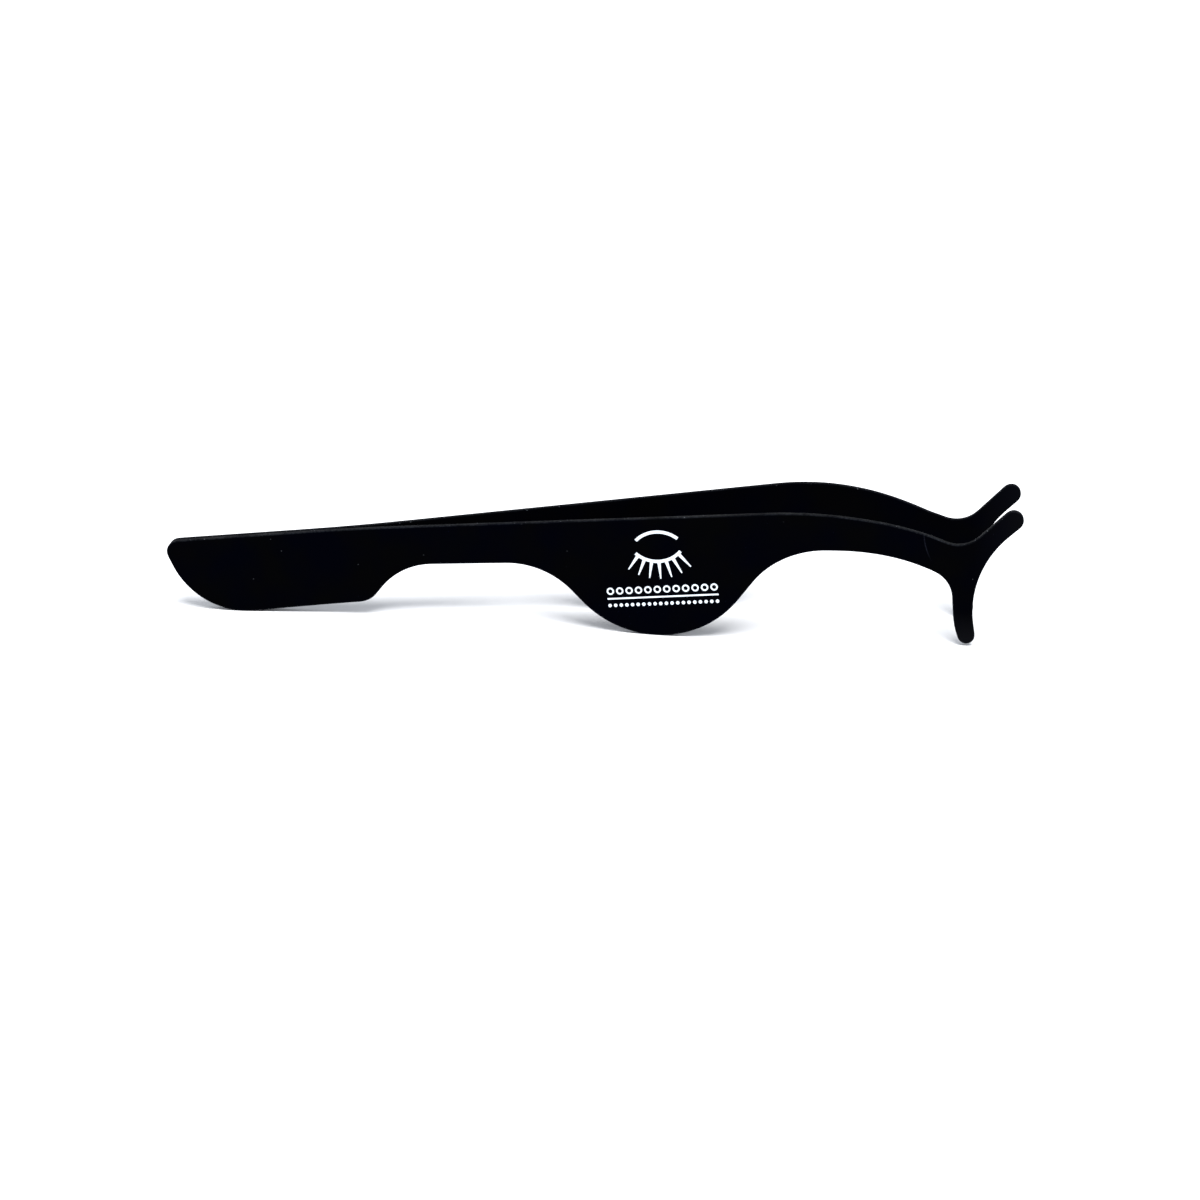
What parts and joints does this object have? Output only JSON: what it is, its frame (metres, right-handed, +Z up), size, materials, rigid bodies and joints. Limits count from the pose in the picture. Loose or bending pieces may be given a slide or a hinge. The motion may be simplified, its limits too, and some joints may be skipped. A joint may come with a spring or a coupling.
{
  "type": "false-lash tweezer",
  "caption": "Sprung tweezer of two coated steel blades welded at the tail, with finger lobes and forked, lid-shaped jaws that hold and press a strip of false lashes.",
  "frame": {"origin": "middle of the tweezer's length and width, on the plane that the tail lobe and the bellies rest on", "axes": "+X from the welded tail to the forked jaws, +Y from the front (printed) blade to the rear blade, +Z up from the finger lobes to the back edge"},
  "size_m": [0.11, 0.0144, 0.018],
  "materials": {
    "black_coat": "matte soft-touch black coat over stainless steel sheet",
    "weld_steel": "bare fused stainless steel, hidden between the tails",
    "white_ink": "matte white pad-printed ink"
  },
  "bodies": {
    "tail": {"front_blade_tail": "black_coat", "rear_blade_tail": "black_coat", "spot_welds": "weld_steel"},
    "front_arm": {"front_blade_arm": "black_coat", "printed_mark": "white_ink"},
    "rear_arm": {"rear_blade_arm": "black_coat"}
  },
  "joints": [
    {"name": "front_arm_flex", "type": "hinge", "parent": "tail", "child": "front_arm", "pos_m": [-0.029, -0.00068, 0.0065], "axis": [0, 0, 1], "range_deg": [0, 3.55], "stiffness_Nm_per_rad": 1.4},
    {"name": "rear_arm_flex", "type": "hinge", "parent": "tail", "child": "rear_arm", "pos_m": [-0.029, 0.00068, 0.0065], "axis": [0, 0, -1], "range_deg": [0, 3.55], "stiffness_Nm_per_rad": 1.4}
  ]
}
